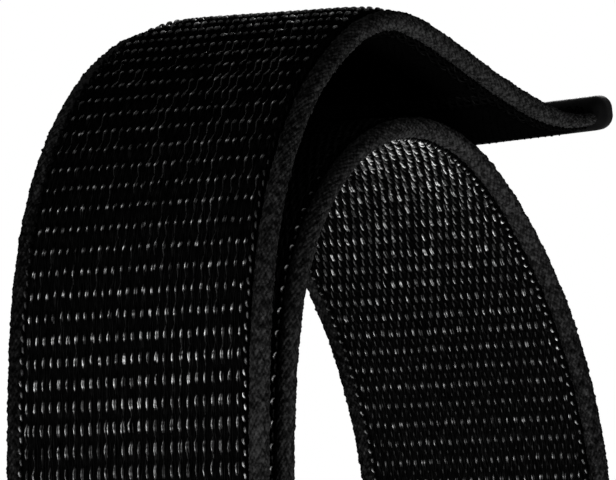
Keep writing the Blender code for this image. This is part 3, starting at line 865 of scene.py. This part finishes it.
def make_glint_yarn():
    """Filaments at the crown of a float with a painted glint in their colour, bright to a different
    degree on each.
    """
    material, nodes, links, shader = new_material("nylon_painted_glint_yarn", (0.1, 0.1, 0.1), 0.42, 0.06)
    noise = fibre_streaks(nodes, links, 7.0, 3.6, 2.0)
    streaks = nodes.new("ShaderNodeMapRange")
    for name, value in (("From Min", 0.34), ("From Max", 0.64), ("To Min", 0.15), ("To Max", 1.50)):
        streaks.inputs[name].default_value = value
    links.new(noise.outputs["Fac"], streaks.inputs["Value"])
    painted_glint = add_node(nodes, "ShaderNodeAttribute", attribute_name="painted_glint")
    share = add_node(nodes, "ShaderNodeMath", operation="MULTIPLY")
    links.new(painted_glint.outputs["Fac"], share.inputs[0])
    links.new(streaks.outputs["Result"], share.inputs[1])
    stops = ((0.03, 0.001), (0.25, 0.05), (0.60, 0.36), (1.0, 0.95))
    shade(nodes, links, share.outputs[0], stops, shader.inputs["Base Color"])
    add_bump(nodes, links, shader, noise.outputs["Fac"], 0.6, 0.00005)
    return material


def make_braid():
    """The cords' cloth, coloured from the tone mark: painted shade where strands sink, painted
    shade and light along each run, and random lighter cells.
    """
    material, nodes, links, shader = new_material("nylon_braid", (0.018, 0.018, 0.0185), 0.9, 0.0)
    tone = add_node(nodes, "ShaderNodeAttribute", attribute_name="tone")
    noise = speckle(nodes, links, 2600.0, 3.0)
    noise.inputs["Roughness"].default_value = 0.65
    mixed = add_node(nodes, "ShaderNodeMath", operation="MULTIPLY_ADD")
    links.new(tone.outputs["Fac"], mixed.inputs[0])
    mixed.inputs[1].default_value = 0.42
    links.new(noise.outputs["Fac"], mixed.inputs[2])
    stops = ((0.42, 0.0012), (0.66, 0.0080), (0.92, 0.0330))
    shade(nodes, links, mixed.outputs[0], stops, shader.inputs["Base Color"])
    add_bump(nodes, links, shader, noise.outputs["Fac"], 0.6, 0.00008)
    return material


def make_plain(name, colour, roughness, specular, metallic, scale, depth):
    """A plain surface with fine mottling in its colour, its roughness and its relief."""
    material, nodes, links, shader = new_material(name, colour, roughness, specular)
    shader.inputs["Metallic"].default_value = metallic
    noise = speckle(nodes, links, scale, 4.0)
    colours = [tuple(min(1.0, share * value) for value in colour) for share in MOTTLE_COLOUR]
    roughs = [min(1.0, share * roughness) for share in MOTTLE_ROUGHNESS]
    for values, socket in ((colours, "Base Color"), (roughs, "Roughness")):
        stops = tuple(zip(MOTTLE_NOISE, values))
        shade(nodes, links, noise.outputs["Fac"], stops, shader.inputs[socket])
    add_bump(nodes, links, shader, noise.outputs["Fac"], 0.4, depth)
    return material


DARK_YARN = make_matt_yarn(
    "nylon_dark_yarn", 0.001, (9.0, 0.8, 3.0),
    ((0.40, 0.0008), (0.58, 0.0034), (0.76, 0.0120)), 0.5, 0.00004,
)
PILE_YARN = make_matt_yarn(
    "nylon_pile_yarn", 0.006, (9.0, 2.0, 3.0),
    ((0.36, 0.0016), (0.55, 0.0075), (0.74, 0.0300)), 0.6, 0.00005,
)
GROUND = make_matt_yarn(
    "nylon_ground", 0.001, (200.0, 3.0, 2.0), ((0.3, 0.0006), (0.8, 0.0030)), 0.6, 0.00005,
)
GLINT_YARN = make_glint_yarn()
BRAID = make_braid()
FUSED = make_plain("fused_nylon", (0.0036, 0.0036, 0.0037), 0.55, 0.01, 0.0, 1100.0, 0.00006)
HOOK = make_plain("hook_nylon", (0.001, 0.001, 0.001), 0.8, 0.0, 0.0, 1500.0, 0.00001)
THREAD = make_plain("stitch_thread", (0.010, 0.010, 0.010), 0.6, 0.15, 0.0, 2500.0, 0.00003)
LUG_METAL = make_plain("dark_satin_metal", (0.060, 0.060, 0.064), 0.38, 0.5, 0.9, 1400.0, 0.00001)
STEEL = make_plain("plain_steel", (0.52, 0.52, 0.53), 0.30, 0.5, 1.0, 1800.0, 0.00001)
RUBBER = make_plain("black_elastomer", (0.02, 0.02, 0.02), 0.9, 0.2, 0.0, 2200.0, 0.00002)


# The strap's lengths, each following its body or lying between two


COLUMNS = (np.arange(COLUMN_COUNT) - (COLUMN_COUNT - 1) / 2) * COLUMN_PITCH
MINOR_COLUMNS = (COLUMNS[1:] + COLUMNS[:-1]) / 2
BINDERS = np.concatenate((COLUMNS - COLUMN_PITCH / 4, COLUMNS + COLUMN_PITCH / 4))


def settle(obj, hold, nodes):
    """Fix a piece to its body, or leave it in place where it lies between two, and let it stand for
    its nodes.
    """
    if len(hold) == 1:
        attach(obj, hold[0])
    else:
        body_a, body_b, middle = hold
        span = OUTER.point(middle - BLEND_REACH), OUTER.point(middle + BLEND_REACH)
        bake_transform(obj)
    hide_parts(*nodes)


def make_weave(prefix, route, start, end, hold, webs):
    """One length of the strip: its ground, its face with painted glints, its dull back and its
    selvages.
    """
    def make(name, materials, fill, *values):
        sheets = Sheets()
        fill(sheets, route, start, end, *values)
        settle(sheets.build(f"{prefix}_{name}", *materials), hold, webs)

    inner = route is INNER
    glow = INNER_GLOW if inner else OUTER_GLOW
    offset = INNER_OFFSET if inner else OUTER_OFFSET
    between = offset + 0.5
    dull, with_painted_glint = (DARK_YARN,), (DARK_YARN, GLINT_YARN)
    back = (PILE_YARN,) if inner else dull
    make("ground", (GROUND,), add_ground)
    for name, ply in (("left_floats", 1), ("right_floats", -1)):
        make(name, with_painted_glint, add_floats, COLUMNS, 1, offset, YARN_CROWN, ply, glow)
    if inner:
        minor = (MINOR_COLUMNS, 1, between, MINOR_CROWN, 1, glow, MINOR_WEIGHT)
        make("minor_floats", with_painted_glint, add_floats, *minor)
    make("back_pile", back, add_floats, COLUMNS, -1, offset, YARN_CROWN, 0)
    make("back_minor_pile", back, add_floats, MINOR_COLUMNS, -1, between, MINOR_CROWN, 0)
    make("binders", dull, add_binders, BINDERS, 1)
    face_power, back_power = (
        (INNER_SELVAGE, INNER_BACK_SELVAGE) if inner else (OUTER_SELVAGE, OUTER_BACK_SELVAGE)
    )
    make("face_selvage", with_painted_glint, add_selvage, 1, offset, face_power, FACE_SECOND_DASH)
    make("back_selvage", with_painted_glint, add_selvage, -1, offset, back_power, BACK_SECOND_DASH)


def make_edges(prefix, route, start, end, hold, nodes):
    for side, label in ((-1, "near"), (1, "far")):
        cord = Sheets()
        add_cord(cord, route, start, end, side, round_end=prefix == "tab")
        obj = cord.build(f"{prefix}_braid_{label}", BRAID)
        settle(obj, hold, [f"{node}_edge_{label}" for node in nodes])


def make_strap():
    root_middle = (ROOT + CREST) / 2
    crest_middle = (CREST + TAB) / 2
    at_root = ("strap", "flap_root", ROOT)
    at_crest = ("flap_root", "flap_middle", CREST)
    at_tab = ("flap_middle", "flap_tab", TAB)
    for prefix, route, start, end, hold, nodes in (
        ("inner_run", INNER, 0.0, INNER.length, ("strap",), ("inner_run",)),
        ("outer_run", OUTER, 0.0, root_middle, at_root, ("outer_run", "flap_root")),
        ("crest", OUTER, root_middle, crest_middle, at_crest, ("flap_middle",)),
        ("tab", OUTER, crest_middle, WEB_END, at_tab, ("flap_tab",)),
    ):
        webs = [node + "_web" for node in nodes]
        make_weave(prefix, route, start, end, hold, webs)
        make_edges(prefix, route, start, end, hold, nodes)


def make_tip():
    """The fused end: a bar across the strap, round along every edge."""
    half_length, half_height = TIP_LENGTH / 2 - TIP_ROUND, TIP_THICKNESS / 2 - TIP_ROUND
    angles = np.linspace(0, math.tau, TIP_SIDES, endpoint=False)
    corner_along = half_length * np.where(np.cos(angles + CORNER_NUDGE) > 0, 1, -1)
    corner_out = TIP_RAISE + half_height * np.where(np.sin(angles + CORNER_NUDGE) > 0, 1, -1)
    ends = np.linspace(0, UP, TIP_END_STEPS)
    reach = STRAP_WIDTH / 2 - TIP_ROUND
    across = np.concatenate((-reach - TIP_ROUND * np.cos(ends), reach + TIP_ROUND * np.sin(ends)))
    radius = TIP_ROUND * np.concatenate((np.sin(ends), np.cos(ends)))
    radius = np.maximum(radius, LEAST_RADIUS)
    middle = OUTER.length - TIP_LENGTH / 2
    along = middle + corner_along + radius[:, None] * np.cos(angles)
    points = OUTER.at(along, across[:, None], corner_out + radius[:, None] * np.sin(angles))
    tip = Sheets()
    tip.tubes(points[None], across * MM)
    settle(tip.build("tab_end_bar", FUSED), ("flap_tab",), ["tab_tip"])


def add_hooks(sheets, start, end):
    """Rows of small hooks that stand up from the patch and turn over."""
    half_width = GROUND_HALF_WIDTH - HOOK_MARGIN
    rows = np.arange(start + HOOK_PITCH, end - HOOK_PITCH, HOOK_PITCH)
    columns = np.arange(-half_width, half_width, HOOK_PITCH)
    along, across = (grid.ravel() for grid in np.meshgrid(rows, columns, indexing="ij"))
    stagger = (np.arange(len(rows)) % 2)[:, None] * HOOK_PITCH / 2 + 0 * columns
    across = across + stagger.ravel()
    direction = np.where(random.random(len(along)) < 0.5, -1.0, 1.0)
    turn = np.linspace(0, HOOK_TURN, HOOK_TURN_STEPS)
    bend = HOOK_REACH / 2
    shaft = HOOK_RISE - bend
    level = STRAP_THICKNESS / 2 + HOOK_BACKING
    lean_along = np.concatenate(((0.0,), bend - bend * np.cos(turn)))
    lean_out = np.concatenate(((-HOOK_ROOT,), shaft + bend * np.sin(turn)))
    size = spread(HOOK_SIZES, random.random(len(along)))[:, None]
    middle_along = along[:, None] + direction[:, None] * lean_along * size
    middle_out = level + lean_out * size
    step_along, step_out = np.gradient(middle_along, axis=1), np.gradient(middle_out, axis=1)
    reach = np.hypot(step_along, step_out)
    angles = (np.arange(HOOK_SIDES) + 0.5) * math.tau / HOOK_SIDES
    side, lift = HOOK_WIRE * np.cos(angles), HOOK_WIRE * np.sin(angles)
    ring_along = middle_along[..., None] + lift * (step_out / reach)[..., None]
    ring_out = middle_out[..., None] - lift * (step_along / reach)[..., None]
    points = OUTER.at(ring_along, across[:, None, None] + side, -ring_out)
    sheets.tubes(points, np.linspace(0, 1, len(turn) + 1))


def add_backing(sheets, start, end):
    """The thin sheet that the hooks stand on."""
    half_width = GROUND_HALF_WIDTH - HOOK_INSET
    near = [(half_width, -BACKING_DEPTH), (half_width, HOOK_BACKING - BACKING_BEVEL),
            (half_width - BACKING_BEVEL, HOOK_BACKING)]
    far = [(-y, out) for y, out in near[::-1]]
    outline = np.array(near + [(0.0, HOOK_BACKING)] + far + [(0.0, -BACKING_DEPTH)])
    along = np.linspace(start, end, round((end - start) / BACKING_STEP) + 1)[:, None]
    points = OUTER.at(along, outline[None, :, 0], -(STRAP_THICKNESS / 2 + outline[None, :, 1]))
    sheets.tubes(points[None], along.ravel() * MM)


def make_hooks():
    middle_end = TAB - HOOK_END_MARGIN
    for label, start, end in (
        ("middle", middle_end - HOOK_LENGTH, middle_end),
        ("tab", TAB + HOOK_END_MARGIN, WEB_END),
    ):
        hooks = Sheets()
        add_hooks(hooks, start, end)
        add_backing(hooks, start, end)
        field = hooks.build(f"hook_field_{label}", HOOK)
        settle(field, (f"flap_{label}",), [f"hook_patch_{label}"])


def dress_lugs():
    """Metal and rubber on the lugs' own solids."""
    for node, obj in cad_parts.items():
        if "_lug_" not in node:
            continue
        material = LUG_METAL if node.endswith("_frame") else RUBBER if "_pad_" in node else STEEL
        for slot in obj.material_slots:
            slot.material = material


def add_stitches(sheets, along):
    """A row of stitches across the strap, each dipping into the cloth at both ends."""
    half_width = GROUND_HALF_WIDTH - STITCH_PITCH / 2
    middles = np.arange(-half_width + STITCH_LENGTH / 2, half_width, STITCH_PITCH)
    share = np.linspace(-1, 1, STITCH_STEPS)
    across = middles[:, None] + STITCH_LENGTH / 2 * share
    out = -STITCH_LEVEL + 2 * STITCH_RADIUS * share**STITCH_FLATNESS
    angles = np.arange(STITCH_SIDES) * math.tau / STITCH_SIDES
    ring_along = along + STITCH_RADIUS * np.cos(angles) + 0 * across[..., None]
    ring_out = out[:, None] + STITCH_RADIUS * np.sin(angles) + 0 * across[..., None]
    sheets.tubes(INNER.at(ring_along, across[..., None], ring_out), across[0] * MM)


def make_stitches():
    """Rows across the tail, and again where the thread comes out behind the run."""
    places = np.linspace(*BEHIND_PLACES)
    heights = INNER.at(places, 0.0, 0.0)[:, 2]
    stitches = Sheets()
    for along in STITCH_PLACES:
        height = INNER.at(along, 0.0, 0.0)[2]
        add_stitches(stitches, along)
        add_stitches(stitches, places[np.argmin(np.abs(heights - height))])
    settle(stitches.build("tail_stitches", THREAD), ("strap",), ["inner_run_web"])


def make_spring(end):
    """The coil under a latch, fixed to its lug."""
    low, high = (np.array(corner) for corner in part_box(f"{end}_lug_spring"))
    middle, size = (low + high) / 2, high - low
    wire = SPRING_WIRE / 2
    share = np.linspace(0, 1, SPRING_TURNS * SPRING_TURN_STEPS + 1)
    turn = share[:, None] * SPRING_TURNS * math.tau
    ring = np.arange(SPRING_SIDES) * math.tau / SPRING_SIDES
    reach = size[1] / 2 - wire + wire * np.cos(ring)
    x, y = middle[0] + reach * np.cos(turn), middle[1] + reach * np.sin(turn)
    z = low[2] + wire + share[:, None] * (size[2] - 2 * wire) + wire * np.sin(ring)
    points = np.stack((x, y, z), -1)
    coil = Sheets()
    coil.tubes(points[None], share * SPRING_TURNS)
    obj = coil.build(f"{end}_lug_coil", STEEL)
    settle(obj, (f"{end}_lug",), [f"{end}_lug_spring"])
    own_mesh(obj)


# Camera, light and floor

CAMERA_TARGET = Vector((-0.0028, 0.0, 0.0490))
CAMERA_DISTANCE = 0.529
CAMERA_AZIMUTH = -60
CAMERA_ELEVATION = -6.32
CAMERA_LENS = 373.2
CAMERA_SENSOR = 36.0
CAMERA_CLIPS = (0.01, 20.0)
LAMP_DISTANCE = 0.60
LAMPS = (
    ("key", -85, -46, 0.18, 3.2),
    ("front", -15, -50, 0.20, 2.4),
    ("top", -30, 60, 0.30, 0.25),
    ("back", 115, 22, 0.30, 3.0),
)
WORLD_LEVEL = 0.12
FLOOR_RADIUS = 0.30
FLOOR_SIDES = 96
FLOOR_DROP = 0.0002
FLOOR_LEVEL = 0.42


def place_round(obj, azimuth, elevation, distance):
    """Set a camera or lamp round the object, facing it. Azimuth 0 is at -Y, 90 at +X."""
    azimuth, elevation = math.radians(azimuth), math.radians(elevation)
    back = Vector((
        math.sin(azimuth) * math.cos(elevation),
        -math.cos(azimuth) * math.cos(elevation),
        math.sin(elevation),
    ))
    obj.location = CAMERA_TARGET + back * distance
    obj.rotation_mode = "QUATERNION"
    obj.rotation_quaternion = (-back).to_track_quat("-Z", "Y")
    bpy.context.scene.collection.objects.link(obj)


def make_camera():
    camera = bpy.data.cameras.new("camera")
    camera.lens, camera.sensor_width = CAMERA_LENS, CAMERA_SENSOR
    camera.clip_start, camera.clip_end = CAMERA_CLIPS
    obj = bpy.data.objects.new("camera", camera)
    place_round(obj, CAMERA_AZIMUTH, CAMERA_ELEVATION, CAMERA_DISTANCE)
    bpy.context.scene.camera = obj


def make_lamps():
    for name, azimuth, elevation, size, power in LAMPS:
        lamp = bpy.data.lights.new(name, "AREA")
        lamp.shape, lamp.size, lamp.energy = "DISK", size, power
        place_round(bpy.data.objects.new(name, lamp), azimuth, elevation, LAMP_DISTANCE)


def set_strength(nodes, links, socket, lighting, seen):
    """One strength for lighting the object, and another where the camera or a mirror shows it."""
    rays = nodes.new("ShaderNodeLightPath")
    shown = rays.outputs["Is Camera Ray"]
    for output in ("Is Glossy Ray", "Is Transmission Ray"):
        either = add_node(nodes, "ShaderNodeMath", operation="MAXIMUM")
        links.new(shown, either.inputs[0])
        links.new(rays.outputs[output], either.inputs[1])
        shown = either.outputs[0]
    level = nodes.new("ShaderNodeMapRange")
    level.inputs["To Min"].default_value = lighting
    level.inputs["To Max"].default_value = seen
    links.new(shown, level.inputs["Value"])
    links.new(level.outputs["Result"], socket)


def make_floor():
    mesh = bpy.data.meshes.new("floor")
    angles = np.linspace(0, math.tau, FLOOR_SIDES, endpoint=False)
    rim = [(FLOOR_RADIUS * math.cos(a), FLOOR_RADIUS * math.sin(a), -FLOOR_DROP) for a in angles]
    mesh.from_pydata(rim, [], [list(range(FLOOR_SIDES))])
    material, nodes, links, shader = new_material("pale_floor", (0.86, 0.86, 0.86), 0.9, 0.1)
    shader.inputs["Emission Color"].default_value = (1, 1, 1, 1)
    set_strength(nodes, links, shader.inputs["Emission Strength"], 0.0, FLOOR_LEVEL)
    mesh.materials.append(material)
    floor = bpy.data.objects.new("floor", mesh)
    bpy.context.scene.collection.objects.link(floor)
    floor.visible_shadow = False


def make_world():
    world = bpy.data.worlds.new("studio")
    bpy.context.scene.world = world
    world.use_nodes = True
    tree = world.node_tree
    background = tree.nodes["Background"]
    background.inputs["Color"].default_value = (1, 1, 1, 1)
    set_strength(tree.nodes, tree.links, background.inputs["Strength"], WORLD_LEVEL, 1.0)


def make_stage():
    make_camera()
    make_world()
    make_floor()
    make_lamps()
    bpy.context.scene.view_settings.view_transform = "Standard"


make_stage()
make_strap()
make_tip()
make_hooks()
make_stitches()
make_spring("slot")
make_spring("fixed")
dress_lugs()
